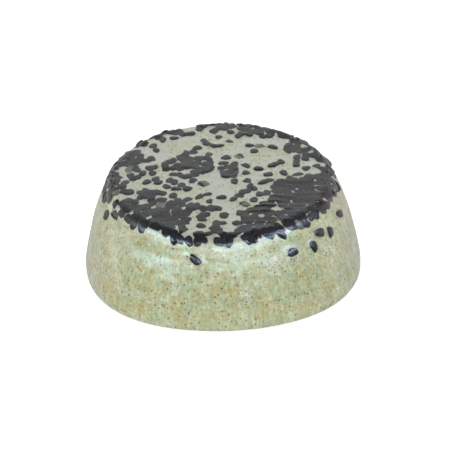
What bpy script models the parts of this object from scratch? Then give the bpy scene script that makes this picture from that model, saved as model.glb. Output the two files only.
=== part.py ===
"""Round bar of shaving soap with black seeds pressed into its small face, closed in clear film.

Units are metres. The origin is under the middle of the bar and +Z is up. The broad face is
underneath. The small face is on top and leans towards -Y, because the bar was poured in a
mould that stood slightly off level.
"""

import math

import bmesh
import bpy
from mathutils import Matrix, Vector

MM = 0.001

# Soap bar. Heights on the bar are counted from its own base, before the top leans.
SOAP_RADIUS = 33.6 * MM
SOAP_HEIGHT = 22.4 * MM
FACE_RADIUS = 26.5 * MM
BELLY_HEIGHT = 1.6 * MM
SHOULDER_RUN = 1.2 * MM
BASE_ROUND = 0.6 * MM
TOP_LEAN = math.radians(4.0)
WALL_POWER = 2 / 1.2
WALL_ANGLES = (16, 24, 34, 46, 60, 75, 90)

# Clear film drawn over the bar and turned under its base.
FILM_CLEARANCE = 0.30 * MM
FILM_THICKNESS = 0.12 * MM
FILM_LIP_RADIUS = 22.0 * MM
SOAP_BASE = FILM_CLEARANCE + FILM_THICKNESS

# Packed beds of seeds, cut from the outer layer of the bar.
BED_DEPTH = 1.6 * MM
BED_GAP = 0.3 * MM
BED_LOW = 19.6 * MM
BED_HIGH = 26.0 * MM
RIM_RADIUS = 27.3
RIM_WAVE = 0.35
RIM_STEP = 9

# One seed: a blunt end, a pointed end and three soft ridges.
SEED_LENGTH = 2.9 * MM
SEED_WIDTH = 1.8 * MM
SEED_THICKNESS = 1.3 * MM
SEED_TAPER = 0.30
SEED_RIDGE = 0.10
SEED_PROUD = 0.12 * MM
SEED_GAP = 0.25 * MM
SEED_AROUND = 8
SEED_ALONG = 5

AROUND = 60
MERGE = 0.01 * MM
SMOOTH_ANGLE = math.radians(35)

SOAP_COLOUR = (0.56, 0.60, 0.39)
SEED_COLOUR = (0.018, 0.016, 0.017)
BED_COLOUR = (0.035, 0.031, 0.032)
FILM_COLOUR = (0.86, 0.92, 0.92)


def rim(start, end):
    """Wavy run of points along the rim of the bar, in mm, between two directions in degrees."""
    count = max(2, round(abs(end - start) / RIM_STEP) + 1)
    points = []
    for i in range(count):
        angle = math.radians(start + (end - start) * i / (count - 1))
        radius = RIM_RADIUS + RIM_WAVE * (1 if i % 2 else -1)
        points.append((radius * math.cos(angle), radius * math.sin(angle)))
    return points


# Outline of each packed bed, in mm on the small face: +X right, +Y back.
BED_OUTLINES = {
    "seed_bed_front_right": [
        (12.4, -3.6), (13.3, -1.7), (14.8, -2.5), (16.8, -1.0), (18.0, -1.6), (18.9, -3.0),
        (20.1, -1.4), (22.0, -0.2), *rim(-2, -79), (4.9, -24.0), (4.6, -20.0), (4.5, -17.8),
        (5.8, -15.4), (7.8, -14.3), (9.0, -12.9), (10.9, -11.6), (12.2, -9.6), (11.8, -8.0),
        (12.5, -5.6),
    ],
    "seed_bed_front_centre": [
        (0.6, -21.0), (0.5, -23.0), (1.5, -24.0), (3.7, -24.0), *rim(-83, -98), (-4.4, -25.6),
        (-4.0, -24.5), (-2.2, -24.3), (-1.7, -23.3), (-3.4, -22.6), (-4.7, -21.6),
        (-4.2, -20.7), (-2.7, -21.3), (-2.2, -20.1), (0.0, -20.0),
    ],
    "seed_bed_front_left": [
        (-24.9, -4.3), (-22.5, -4.2), (-21.2, -5.4), (-19.6, -6.4), (-18.9, -5.3),
        (-17.2, -4.9), (-16.4, -5.9), (-15.9, -4.9), (-14.9, -5.4), (-14.4, -6.8),
        (-13.4, -7.0), (-13.0, -9.4), (-12.4, -10.9), (-11.2, -11.3), (-10.6, -9.8),
        (-9.2, -9.1), (-7.2, -10.2), (-6.7, -12.6), (-5.2, -13.2), (-3.4, -13.2),
        (-0.8, -13.4), (-0.6, -14.9), (-4.8, -15.2), (-6.6, -14.9), (-8.0, -15.6),
        (-8.1, -17.4), (-7.5, -19.6), (-8.9, -21.4), (-8.4, -24.0), *rim(-107, -149),
        (-23.4, -12.2), (-24.0, -9.8), (-25.8, -6.9), (-27.0, -5.2),
    ],
    "seed_bed_left": [
        *rim(-174, -208), (-20.8, 13.8), (-19.8, 11.8), (-19.3, 9.6), (-20.2, 7.6),
        (-20.4, 5.8), (-20.8, 3.6), (-20.7, 0.0), (-21.2, -1.6), (-22.6, 0.6), (-22.7, 4.6),
        (-24.2, 5.2), (-24.8, 2.0), (-24.7, -1.5), (-25.8, -2.7),
    ],
    "seed_bed_back_left": [
        *rim(147, 117), (-10.2, 23.2), (-9.0, 22.2), (-6.6, 22.0), (-6.5, 20.8), (-8.6, 20.3),
        (-10.4, 21.1), (-12.8, 21.2), (-13.4, 18.9), (-14.4, 17.2), (-15.3, 18.2),
        (-15.6, 19.5), (-17.2, 18.6), (-18.2, 16.2), (-19.4, 15.8), (-20.8, 15.6),
    ],
    "seed_bed_back": [
        *rim(101, 84), (3.4, 21.2), (2.2, 21.2), (1.6, 22.8), (0.2, 23.0), (-0.8, 21.6),
        (-2.4, 21.7), (-3.3, 22.5), (-3.8, 21.0), (-4.9, 21.0), (-5.4, 23.4),
    ],
    "seed_bed_back_right": [
        *rim(80, 50), (17.2, 17.4), (15.4, 18.6), (13.6, 19.2), (12.2, 18.4), (10.6, 18.4),
        (9.6, 20.4), (7.7, 20.2), (7.4, 18.4), (4.8, 18.1), (3.7, 19.8), (5.2, 21.6),
    ],
    "seed_bed_right": [
        *rim(46, 2), (24.3, 0.6), (24.0, 3.2), (21.7, 5.4), (20.4, 7.0), (20.6, 9.4),
        (21.2, 10.8), (19.4, 11.0), (17.4, 10.9), (15.8, 12.0), (16.4, 13.4), (16.2, 14.8),
        (18.0, 15.8),
    ],
    "seed_bed_centre_left": [
        (-14.4, 6.0), (-13.9, 7.6), (-12.3, 8.6), (-10.7, 8.5), (-9.9, 10.6), (-8.9, 12.4),
        (-7.8, 12.0), (-7.0, 10.2), (-5.4, 9.8), (-3.5, 9.6), (-2.8, 11.9), (-1.9, 11.0),
        (-1.9, 7.2), (-1.9, 4.2), (-3.2, 2.5), (-4.9, 2.0), (-6.4, 0.9), (-8.4, -0.3),
        (-10.2, 0.7), (-12.2, 1.4), (-13.3, 3.0), (-14.1, 4.4),
    ],
    "seed_bed_centre": [
        (-0.9, 4.6), (1.8, 5.2), (3.2, 6.9), (4.1, 5.8), (4.0, 4.0), (3.4, 2.6), (3.6, -0.9),
        (1.2, -0.6), (-0.3, 0.4), (0.6, 2.0),
    ],
}

# Single seeds on the small face: x and y in mm, and the turn of the pointed end in degrees.
TOP_SEEDS = [
    # back
    (-4.4, 17.4, -50), (-1.9, 14.8, -10), (2.2, 16.6, -30), (-5.9, 14.0, 40), (-0.3, 19.1, 85),
    (7.6, 14.9, 0), (8.6, 12.0, 75), (13.2, 13.7, -35), (4.7, 9.7, -80), (1.4, 8.9, 35),
    # right
    (14.8, 6.5, -75), (12.4, 4.8, 15), (11.3, 0.6, 15), (9.3, 3.3, -15), (6.2, 5.0, -50),
    (6.1, 1.4, -40), (20.7, 3.0, 60), (18.4, 0.5, 15), (15.3, 0.9, -70), (18.6, 8.5, 85),
    (18.6, 5.1, 80),
    # left
    (-15.9, 13.3, -65), (-17.3, 9.1, -60), (-16.2, 5.3, 80), (-19.0, 2.6, 80),
    (-17.9, -1.9, 55), (-12.5, -0.9, -75), (-13.2, -4.0, -45), (-6.8, -1.7, 65),
    (-4.1, -3.1, -60), (-9.4, -3.2, 80), (-11.3, -8.0, 75),
    # front
    (-3.5, -7.7, 30), (-0.2, -9.4, 10), (2.7, -10.2, 60), (-3.1, -11.0, 90), (0.5, -17.4, 85),
    (-5.0, -17.8, 0), (5.6, -12.6, -50), (10.0, -3.0, 35), (5.2, -7.0, 75), (9.2, -8.2, 80),
]

# Single seeds on the wall: direction and turn in degrees, height in mm.
WALL_SEEDS = [
    (-160.0, 18.2, 90), (-102.5, 17.4, -35), (-57.0, 16.4, 0), (-39.5, 17.6, -15),
    (-19.0, 17.0, -15),
]


def clear_scene():
    """Remove whatever the file opened with."""
    for item in list(bpy.data.objects):
        bpy.data.objects.remove(item, do_unlink=True)


def material(name, colour, roughness, alpha=1.0):
    """Make a plain non-metallic Principled material."""
    made = bpy.data.materials.new(name)
    made.use_nodes = True
    shader = made.node_tree.nodes["Principled BSDF"]
    shader.inputs["Base Color"].default_value = (*colour, 1.0)
    shader.inputs["Roughness"].default_value = roughness
    shader.inputs["Metallic"].default_value = 0.0
    shader.inputs["Alpha"].default_value = alpha
    made.diffuse_color = (*colour, alpha)
    return made


def add_object(name, mesh, finish=None):
    """Link a mesh to the scene as a named object."""
    made = bpy.data.objects.new(name, mesh)
    bpy.context.scene.collection.objects.link(made)
    if finish is not None and not mesh.materials:
        mesh.materials.append(finish)
    return made


def as_cutter(item):
    """Mark an object as a construction aid."""
    item.hide_render = True
    item.display_type = "WIRE"
    return item


def boolean(target, operation, other):
    """Add an exact Boolean modifier."""
    cut = target.modifiers.new(other.name, "BOOLEAN")
    cut.operation = operation
    cut.solver = "EXACT"
    cut.object = other


def even_shading(target):
    """Shade the cut faces of an object flat, without changing its shape."""
    target.modifiers.new("even_shading", "WEIGHTED_NORMAL").weight = 80


def leaned(y, height):
    """World height of a level that is `height` above the soap's base, over depth y."""
    return SOAP_BASE + height * (1 + y * math.tan(TOP_LEAN) / SOAP_HEIGHT)


def finish_mesh(name, bm):
    """Lean what is above the soap's base, turn the faces out and write the mesh."""
    for vert in bm.verts:
        if vert.co.z > 0:
            vert.co.z = leaned(vert.co.y, vert.co.z)
        else:
            vert.co.z += SOAP_BASE
    bmesh.ops.recalc_face_normals(bm, faces=bm.faces)
    mesh = bpy.data.meshes.new(name)
    bm.to_mesh(mesh)
    bm.free()
    mesh.shade_smooth()
    mesh.set_sharp_from_angle(angle=SMOOTH_ANGLE)
    return mesh


def wall_point(angle):
    """Radius and height of the drafted wall: 0 degrees is its top corner, 90 its widest place."""
    turn = math.radians(angle)
    out = math.sin(turn) ** WALL_POWER
    up = max(math.cos(turn), 0.0) ** WALL_POWER
    radius = FACE_RADIUS + (SOAP_RADIUS - FACE_RADIUS) * out
    return radius, BELLY_HEIGHT + (SOAP_HEIGHT - BELLY_HEIGHT) * up


def soap_profile():
    """Half section of the bar from the middle of the top, down the wall, to the middle below."""
    start = Vector((FACE_RADIUS - SHOULDER_RUN, SOAP_HEIGHT))
    corner = Vector((FACE_RADIUS, SOAP_HEIGHT))
    wall = [Vector(wall_point(angle)) for angle in WALL_ANGLES]
    profile = [Vector((0, SOAP_HEIGHT)), start]
    for i in (1, 2):
        t = i / 3
        profile.append(start.lerp(corner, t).lerp(corner.lerp(wall[0], t), t))
    profile += wall
    for angle in (35, 65, 90):
        turn = math.radians(angle)
        across = SOAP_RADIUS - BASE_ROUND * (1 - math.cos(turn))
        profile.append(Vector((across, BASE_ROUND * (1 - math.sin(turn)))))
    profile.append(Vector((0, 0)))
    return profile


def offset(profile, distance):
    """Move a half section outwards by a distance, or inwards if it is negative."""
    moved = []
    for i, point in enumerate(profile):
        normals = []
        for a, b in ((i - 1, i), (i, i + 1)):
            if a >= 0 and b < len(profile):
                along = (profile[b] - profile[a]).normalized()
                normals.append(Vector((-along.y, along.x)))
        middle = sum(normals, Vector((0, 0))).normalized()
        moved.append(point + middle * distance / middle.dot(normals[0]))
    return moved


def lathe(name, profile, closed=False):
    """Turn a half section about the Z axis."""
    bm = bmesh.new()
    verts = [bm.verts.new((point.x, 0, point.y)) for point in profile]
    edges = [bm.edges.new(pair) for pair in zip(verts, verts[1:])]
    if closed:
        edges.append(bm.edges.new((verts[-1], verts[0])))
    bmesh.ops.spin(
        bm, geom=verts + edges, cent=(0, 0, 0), axis=(0, 0, 1),
        angle=math.tau, steps=AROUND, use_merge=True,
    )
    bmesh.ops.remove_doubles(bm, verts=bm.verts, dist=MERGE / 10)
    return finish_mesh(name, bm)


def smooth_loop(points):
    """Closed curve in metres through points in mm, with one point added in each span."""
    count = len(points)
    loop = []
    for i in range(count):
        p0, p1, p2, p3 = (Vector(points[(i + k) % count]) * MM for k in (-1, 0, 1, 2))
        loop.append(p1)
        loop.append((9 * (p1 + p2) - p0 - p3) / 16)
    return loop


def grown(loop, by):
    """Move a closed curve outwards by a distance."""
    count = len(loop)
    area = sum(loop[i - 1].cross(loop[i]) for i in range(count))
    side = 1 if area > 0 else -1
    moved = []
    for i, point in enumerate(loop):
        along = (loop[(i + 1) % count] - loop[i - 1]).normalized()
        moved.append(point + Vector((along.y, -along.x)) * side * by)
    return moved


def prism(name, loop, low, high):
    """Upright prism over a closed curve."""
    bm = bmesh.new()
    base = bm.faces.new([bm.verts.new((point.x, point.y, low)) for point in loop])
    raised = bmesh.ops.extrude_face_region(bm, geom=[base])["geom"]
    top = [item for item in raised if isinstance(item, bmesh.types.BMVert)]
    bmesh.ops.translate(bm, verts=top, vec=(0, 0, high - low))
    return finish_mesh(name, bm)


def seed_shape(bm, place, margin=0.0):
    """Add one seed at a place: pointed end along +X, flat way up along +Z."""
    turn = Matrix.Rotation(math.pi / 2, 4, "Y")
    made = bmesh.ops.create_uvsphere(
        bm, u_segments=SEED_AROUND, v_segments=SEED_ALONG, radius=1, matrix=turn,
    )
    half = [size / 2 + margin for size in (SEED_LENGTH, SEED_WIDTH, SEED_THICKNESS)]
    for vert in made["verts"]:
        x, y, z = vert.co
        ridge = 1 + SEED_RIDGE * math.cos(3 * (math.atan2(z, y) - math.pi / 2))
        slim = (1 - SEED_TAPER * x) * ridge
        vert.co = place @ Vector((half[0] * x, half[1] * y * slim, half[2] * z * slim))
    return made["verts"]


def frame_at(point, up, ahead, turn):
    """Placement with +Z along `up` and +X turned from the direction `ahead`."""
    up = up.normalized()
    side = up.cross(ahead).normalized()
    ahead = side.cross(up)
    axes = Matrix((ahead, side, up)).transposed().to_4x4()
    sink = Matrix.Translation((0, 0, SEED_PROUD - SEED_THICKNESS / 2))
    return Matrix.Translation(point) @ axes @ Matrix.Rotation(turn, 4, "Z") @ sink


def top_place(x, y, turn):
    """Placement of a seed lying flush in the small face."""
    point = Vector((x * MM, y * MM, leaned(y * MM, SOAP_HEIGHT)))
    up = Vector((0, -math.tan(TOP_LEAN), 1))
    return frame_at(point, up, Vector((1, 0, 0)), math.radians(turn))


def wall_place(direction, height, turn):
    """Placement of a seed lying flush in the wall."""
    height = height * MM
    profile = soap_profile()
    for upper, lower in zip(profile, profile[1:]):
        if lower.y < height <= upper.y:
            break
    share = (upper.y - height) / (upper.y - lower.y)
    radius = upper.lerp(lower, share).x
    fall = (lower - upper).normalized()
    angle = math.radians(direction)
    out = Vector((math.cos(angle), math.sin(angle), 0))
    point = out * radius
    point.z = leaned(point.y, height)
    up = out * -fall.y + Vector((0, 0, fall.x))
    tangent = Vector((-out.y, out.x, 0))
    return frame_at(point, up, tangent, math.radians(turn))


def seed_places():
    """Name and placement of every single seed."""
    places = {}
    for i, (x, y, turn) in enumerate(TOP_SEEDS, 1):
        places[f"seed_top_{i:02d}"] = top_place(x, y, turn)
    for i, (direction, height, turn) in enumerate(WALL_SEEDS, 1):
        places[f"seed_wall_{i}"] = wall_place(direction, height, turn)
    return places


def write_seeds(name, places, margin=0.0):
    """One mesh holding a seed shape at each place."""
    bm = bmesh.new()
    for place in places:
        seed_shape(bm, place, margin)
    bmesh.ops.recalc_face_normals(bm, faces=bm.faces)
    mesh = bpy.data.meshes.new(name)
    bm.to_mesh(mesh)
    bm.free()
    mesh.shade_smooth()
    return mesh


def add_single_seeds(soap, finish):
    """Add each single seed, and cut its seat in the soap."""
    places = seed_places()
    seats = add_object("cut_seats", write_seeds("cut_seats", places.values(), SEED_GAP))
    boolean(soap, "DIFFERENCE", as_cutter(seats))
    shape = write_seeds("seed", [Matrix.Identity(4)])
    shape.materials.append(finish)
    for name, place in places.items():
        add_object(name, shape).matrix_world = place


def add_seed_beds(soap, finish):
    """Add each packed bed, and cut its pocket in the soap."""
    profile = soap_profile()
    blank = as_cutter(add_object("cut_blank", lathe("cut_blank", profile)))
    under_bed = as_cutter(add_object("cut_core", lathe("cut_core", offset(profile, -BED_DEPTH))))
    deep = offset(profile, -BED_DEPTH - BED_GAP)
    under_pocket = as_cutter(add_object("cut_core_deep", lathe("cut_core_deep", deep)))
    for name, outline in BED_OUTLINES.items():
        loop = smooth_loop(outline)
        bed = add_object(name, prism(name, loop, BED_LOW, BED_HIGH), finish)
        boolean(bed, "INTERSECT", blank)
        boolean(bed, "DIFFERENCE", under_bed)
        even_shading(bed)
        shape = prism("cut_" + name, grown(loop, BED_GAP), BED_LOW - BED_GAP, BED_HIGH)
        pocket = as_cutter(add_object("cut_" + name, shape))
        boolean(pocket, "DIFFERENCE", under_pocket)
        boolean(soap, "DIFFERENCE", pocket)


def add_film(finish):
    """Add the film: a thin shell round the bar, open in the middle underneath."""
    inner = soap_profile()
    inner[-1] = Vector((FILM_LIP_RADIUS, 0))
    inside = offset(inner, FILM_CLEARANCE)
    outside = offset(inner, FILM_CLEARANCE + FILM_THICKNESS)
    add_object("clear_wrap", lathe("clear_wrap", outside + inside[::-1], closed=True), finish)


def build():
    """Build the wrapped bar."""
    clear_scene()
    soap_finish = material("soap", SOAP_COLOUR, 0.55)
    seed_finish = material("seed", SEED_COLOUR, 0.35)
    bed_finish = material("seed_bed", BED_COLOUR, 0.5)
    film_finish = material("film", FILM_COLOUR, 0.08, alpha=0.15)
    soap = add_object("soap_body", lathe("soap_body", soap_profile()), soap_finish)
    add_seed_beds(soap, bed_finish)
    add_single_seeds(soap, seed_finish)
    even_shading(soap)
    add_film(film_finish)


build()
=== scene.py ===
"""Looks of the wrapped, seeded soap puck: soap skin, hundreds of black seeds, clear film."""

import math

import bpy
import numpy as np
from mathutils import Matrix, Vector, noise
from mathutils.bvhtree import BVHTree

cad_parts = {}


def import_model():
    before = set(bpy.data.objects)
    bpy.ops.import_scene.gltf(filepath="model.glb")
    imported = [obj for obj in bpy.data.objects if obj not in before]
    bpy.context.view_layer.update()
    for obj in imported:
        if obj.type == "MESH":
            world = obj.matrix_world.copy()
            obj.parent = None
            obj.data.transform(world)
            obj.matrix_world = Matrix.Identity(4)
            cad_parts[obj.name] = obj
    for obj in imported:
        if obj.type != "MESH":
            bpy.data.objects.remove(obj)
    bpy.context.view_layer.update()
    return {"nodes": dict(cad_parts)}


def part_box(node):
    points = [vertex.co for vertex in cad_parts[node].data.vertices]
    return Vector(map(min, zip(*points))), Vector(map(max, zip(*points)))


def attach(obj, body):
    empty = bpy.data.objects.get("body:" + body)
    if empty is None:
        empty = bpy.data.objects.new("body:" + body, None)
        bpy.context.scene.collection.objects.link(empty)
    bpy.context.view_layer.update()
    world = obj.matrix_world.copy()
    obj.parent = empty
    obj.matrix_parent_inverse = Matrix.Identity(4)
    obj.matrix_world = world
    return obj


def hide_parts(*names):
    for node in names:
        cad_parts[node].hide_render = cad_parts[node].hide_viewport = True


MM = 0.001

# Shape of the bar, as shares of the soap node's own size.
FACE_SHARE = 0.789
BELLY_SHARE = 0.048
SHOULDER_SHARE = 0.036
BASE_ROUND_SHARE = 0.018
TOP_LEAN = math.radians(4.0)
WALL_POWER = 2 / 1.2

# Soap skin
TOP_LIFT = 0.02 * MM
WALL_LIFT = 0.25 * MM
# The soft mould let the lower wall sag outwards: more at its four quarters, and most at two
# corners.
SAG_OUT = 0.45 * MM
SAG_SQUARE = 0.40 * MM
SAG_DEEP = 0.20 * MM
SAG_SIDE = 0.38 * MM
SAG_CORNERS = ((math.radians(-138.0), 0.70 * MM), (math.radians(-30.0), 0.80 * MM))
SAG_CORNER_REACH = math.radians(28.0)
# Runs past the flat face: where the wall begins, where the sag begins and how far it builds up,
# and where the shoulder's side bulge lies.
WALL_FROM = 4 * MM
SAG_FROM = 7 * MM
SAG_BUILDS = 12 * MM
SAG_FADES = 30 * MM
SIDE_AT = 10 * MM
SIDE_REACH = 6 * MM
BED_DIP = 0.10 * MM
SKIN_AROUND = 420
SKIN_STEP = 0.30 * MM
# Unevenness of the skin: its size, its height on the small face and how much more on the wall, mm.
SKIN_WAVES = ((9 * MM, 0.04, 0.12), (2.2 * MM, 0.02, 0.04), (0.8 * MM, 0.01, 0.02))
UNDER_RINGS = 14

# Seeds
SEED_LENGTH = (2.4 * MM, 3.1 * MM)
SEED_WIDTH = (1.6 * MM, 2.1 * MM)
SEED_DEPTH = 1.45 * MM
SEED_HIDDEN = 1.12
SEED_ALONG = 13
SEED_AROUND = 16
SEED_SHAPES = 9
BLUNT_SHAPES = 4
BLUNT_ENDS = 0.52
POINTED_ENDS = 0.76
# The bar's skin unrolled to a flat square field of cells, to keep track of what lies where.
CELL = 0.10 * MM
FIELD = 36.0 * MM
SIZE = int(2 * FIELD / CELL) + 8
# Packed beds. Each layer: most overlap, least share inside the outline, how much lower it lies, mm.
PACKING = ((0.10, 0.80, 0.0), (0.28, 0.72, 0.03), (0.50, 0.66, 0.06), (0.75, 0.60, 0.10))
TURNS_TRIED = 10
BED_COVER = 0.95
MOST_ON_BARE = 0.03
BED_PER_SPECK = 9 * MM**2
SPECK_WIDE = (0.22, 0.44)

# Studio
WINDOW_GLOW = 6.2
WINDOW_TINT = (0.64, 0.85, 1.05)
BACKDROP_GLOW = 1.6
# Soft light on matt surfaces, from level to straight up.
FILL_LOW = 0.74
FILL_HIGH = 0.54
# How bright the floor looks to the camera, and in reflections.
FLOOR_GLOW = 0.70
FLOOR_MIRRORED = 0.55
FLOOR_REACH = 3.0
FLOOR_CORNERS = 64
FLOOR_GAP = 0.02 * MM

# Camera
SENSOR = 36.0
LENS = 121.7
LENS_SHIFT = (0.0069, -0.0067)
LENS_DISTANCE = 374 * MM
LENS_AIM_HEIGHT = 10.36 * MM
LENS_ELEVATION = math.radians(28.85)
LENS_ROLL = math.radians(1.28)

# Film
FILM_AROUND = 330
FILM_STEP = 0.42 * MM
FILM_THICKNESS = 0.03 * MM
FILM_LIFT = 0.06 * MM
FILM_SLACK = 0.12 * MM
FILM_TUCK = 10 * MM
# Most lift under the base and just above it, so that the film stays off the floor.
FILM_LOW_LIFT = 0.14 * MM
FILM_LOW_FROM = 2 * MM
FILM_RELAX = 14
WALL_CREASES = 26
FRONT_CREASES = 7
FACE_CREASES = 13
WALL_CREASE_WIDE = 0.28 * MM
FACE_CREASE_WIDE = 0.30 * MM
CREASE_ENDS = 2 * MM
FACE_CREASE_REACH = 4.5 * MM
FILM_SHINE = 1.25
FILM_SHINE_MOST = 0.16

rng = np.random.default_rng(11)

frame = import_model()


# ---------------------------------------------------------------- shape of the bar

soap_low, soap_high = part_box("soap_body")
RADIUS = (soap_high.x - soap_low.x) / 2
BASE = soap_low.z
FACE_RADIUS = RADIUS * FACE_SHARE
LEAN = math.tan(TOP_LEAN)
# The highest place of the soap is the back edge of its flat face.
FLAT_RADIUS = FACE_RADIUS - RADIUS * SHOULDER_SHARE
HEIGHT = soap_high.z - BASE - FLAT_RADIUS * LEAN


def section():
    """Dense half section of the bar: run along it, radius and height, from the top to the base."""
    belly = RADIUS * BELLY_SHARE
    turn = np.radians(np.linspace(16, 90, 75))
    wall_r = FACE_RADIUS + (RADIUS - FACE_RADIUS) * np.sin(turn) ** WALL_POWER
    wall_z = belly + (HEIGHT - belly) * np.maximum(np.cos(turn), 0) ** WALL_POWER
    t = np.linspace(0, 1, 16)[:-1]
    start, corner = np.array([FLAT_RADIUS, HEIGHT]), np.array([FACE_RADIUS, HEIGHT])
    end = np.array([wall_r[0], wall_z[0]])
    curve = ((1 - t) ** 2)[:, None] * start + (2 * t * (1 - t))[:, None] * corner
    curve = curve + (t**2)[:, None] * end
    low = RADIUS * BASE_ROUND_SHARE
    turn = np.radians(np.linspace(0, 90, 12))
    edge_r = RADIUS - low * (1 - np.cos(turn))
    edge_z = low * (1 - np.sin(turn))
    radius = np.concatenate([[0], curve[:, 0], wall_r, edge_r, [0]])
    height = np.concatenate([[HEIGHT], curve[:, 1], wall_z, edge_z, [0]])
    run = np.concatenate([[0], np.cumsum(np.hypot(np.diff(radius), np.diff(height)))])
    return run, radius, height


RUN, SECTION_R, SECTION_Z = section()
RUN_BASE_EDGE = RUN[-2]
RUN_END = RUN[-1]
# Outward normals of the half section, softened a little so that the shoulder shades evenly.
_fine = np.linspace(0, RUN_END, 2000)
_dr = np.gradient(np.interp(_fine, RUN, SECTION_R))
_dz = np.gradient(np.interp(_fine, RUN, SECTION_Z))
_len = np.hypot(_dr, _dz)
_soft = np.ones(15) / 15
_pad = len(_soft) // 2


def softened(values):
    """Running mean with the ends held."""
    return np.convolve(np.pad(values, _pad, mode="edge"), _soft, mode="valid")


NORMAL_R = softened(-_dz / _len)
NORMAL_Z = softened(_dr / _len)


def sag(around):
    """How far the lower wall stands out of a true round."""
    out = SAG_OUT - SAG_SQUARE * np.cos(4 * around) - SAG_DEEP * np.cos(2 * around)
    for corner, most in SAG_CORNERS:
        away = np.angle(np.exp(1j * (np.asarray(around) - corner))) / SAG_CORNER_REACH
        out = out + most * np.exp(-(away**2))
    return out


def surface(run, around, lift):
    """Points `lift` off the bar's skin, at a run along the section and an angle around it."""
    nr = np.interp(run, _fine, NORMAL_R)
    nz = np.interp(run, _fine, NORMAL_Z)
    on_wall = np.clip((run - FLAT_RADIUS) / WALL_FROM, 0, 1)
    low = np.clip((run - FLAT_RADIUS - SAG_FROM) / SAG_BUILDS, 0, 1)
    low = low * np.clip((RUN_END - run) / SAG_FADES, 0, 1)
    middle = np.exp(-(((run - FLAT_RADIUS - SIDE_AT) / SIDE_REACH) ** 2))
    lift = lift + TOP_LIFT + (WALL_LIFT - TOP_LIFT) * on_wall
    radius = np.interp(run, RUN, SECTION_R) + lift * nr
    radius = radius + low * sag(around) + middle * SAG_SIDE * (0.5 + 0.5 * np.cos(2 * around))
    height = np.interp(run, RUN, SECTION_Z) + lift * nz
    x = radius * np.cos(around)
    y = radius * np.sin(around)
    z = BASE + height + np.where(height > 0, height * y * LEAN / HEIGHT, 0)
    return np.stack([x, y, z], axis=-1)


def axes_at(run, around):
    """Origin, downhill direction, sideways direction and outward normal at one place."""
    step = 0.2 * MM
    here = surface(run, around, 0.0)
    down = surface(run + step, around, 0.0) - surface(max(run - step, 0), around, 0.0)
    side = np.array([-math.sin(around), math.cos(around), 0.0])
    if run > step:
        turn = step / max(np.interp(run, RUN, SECTION_R), step)
        side = surface(run, around + turn, 0.0) - surface(run, around - turn, 0.0)
    down = down / np.linalg.norm(down)
    side = side - down * (side @ down)
    side = side / np.linalg.norm(side)
    return here, down, side, np.cross(down, side)


def roughened(points, scale, seed):
    """Perlin noise at each point."""
    shift = Vector((seed * 17.3, seed * 5.1, seed * 9.7))
    return np.array([noise.noise(Vector(p) / scale + shift) for p in points])


def new_mesh(name, verts, faces, materials, smooth=True):
    """Make a mesh object from arrays."""
    mesh = bpy.data.meshes.new(name)
    mesh.from_pydata(np.asarray(verts).tolist(), [], [list(f) for f in faces])
    mesh.update()
    if smooth:
        mesh.shade_smooth()
    for item in materials:
        mesh.materials.append(item)
    made = bpy.data.objects.new(name, mesh)
    bpy.context.scene.collection.objects.link(made)
    return made


def grid_faces(rings, around, first=0, flip=False):
    """Quads between closed rings of points."""
    faces = []
    for i in range(rings - 1):
        a = first + i * around
        b = a + around
        for j in range(around):
            k = (j + 1) % around
            quad = (a + j, b + j, b + k, a + k)
            faces.append(quad[::-1] if flip else quad)
    return faces


# ---------------------------------------------------------------- materials


def node_adder(tree):
    """A helper that adds a node to a tree: `in_` settings go to its sockets, others to the node."""
    def add(kind, **settings):
        node = tree.nodes.new("ShaderNode" + kind)
        for key, value in settings.items():
            if key.startswith("in_"):
                node.inputs[key[3:].replace("_", " ")].default_value = value
            else:
                setattr(node, key, value)
        return node

    return add


def shader_tree(name):
    """New material, the helper that adds nodes to it and the one that links them."""
    made = bpy.data.materials.new(name)
    made.use_nodes = True
    made.node_tree.nodes.clear()
    return made, node_adder(made.node_tree), made.node_tree.links.new


def ramp(add, link, source, stops):
    """Colour ramp with (place, colour) stops."""
    node = add("ValToRGB")
    node.color_ramp.elements[0].position = stops[0][0]
    node.color_ramp.elements[0].color = (*stops[0][1], 1)
    node.color_ramp.elements[1].position = stops[-1][0]
    node.color_ramp.elements[1].color = (*stops[-1][1], 1)
    for place, colour in stops[1:-1]:
        node.color_ramp.elements.new(place).color = (*colour, 1)
    link(source, node.inputs["Fac"])
    return node.outputs["Color"]


def noise_at(add, link, place, scale, detail, roughness=0.5):
    """Cloudy noise over a place."""
    node = add("TexNoise", in_Scale=scale, in_Detail=detail, in_Roughness=roughness)
    link(place, node.inputs["Vector"])
    return node.outputs["Fac"]


def mapped(add, link, source, span, to=(0.0, 1.0), smooth=False):
    """Map one span of values to another, held at the ends."""
    node = add("MapRange", interpolation_type="SMOOTHSTEP" if smooth else "LINEAR")
    link(source, node.inputs["Value"])
    node.inputs["From Min"].default_value, node.inputs["From Max"].default_value = span
    node.inputs["To Min"].default_value, node.inputs["To Max"].default_value = to
    return node.outputs["Result"]


def tinted(add, link, share, colour, tint):
    """Mix a share of a fixed tint into a colour."""
    node = add("Mix", data_type="RGBA")
    link(share, node.inputs["Factor"])
    link(colour, node.inputs["A"])
    node.inputs["B"].default_value = (*tint, 1)
    return node.outputs["Result"]


def product(add, link, first, second):
    """Product of two values."""
    node = add("Math", operation="MULTIPLY")
    link(first, node.inputs[0])
    link(second, node.inputs[1])
    return node.outputs[0]


def bumped(add, link, height, strength, distance, socket):
    """Let a height bend the normal of a shader."""
    node = add("Bump", in_Strength=strength, in_Distance=distance)
    link(height, node.inputs["Height"])
    link(node.outputs["Normal"], socket)


def finish_surface(add, link, shader):
    """Join a shader to the material's surface."""
    link(shader, add("OutputMaterial").inputs["Surface"])


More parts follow.
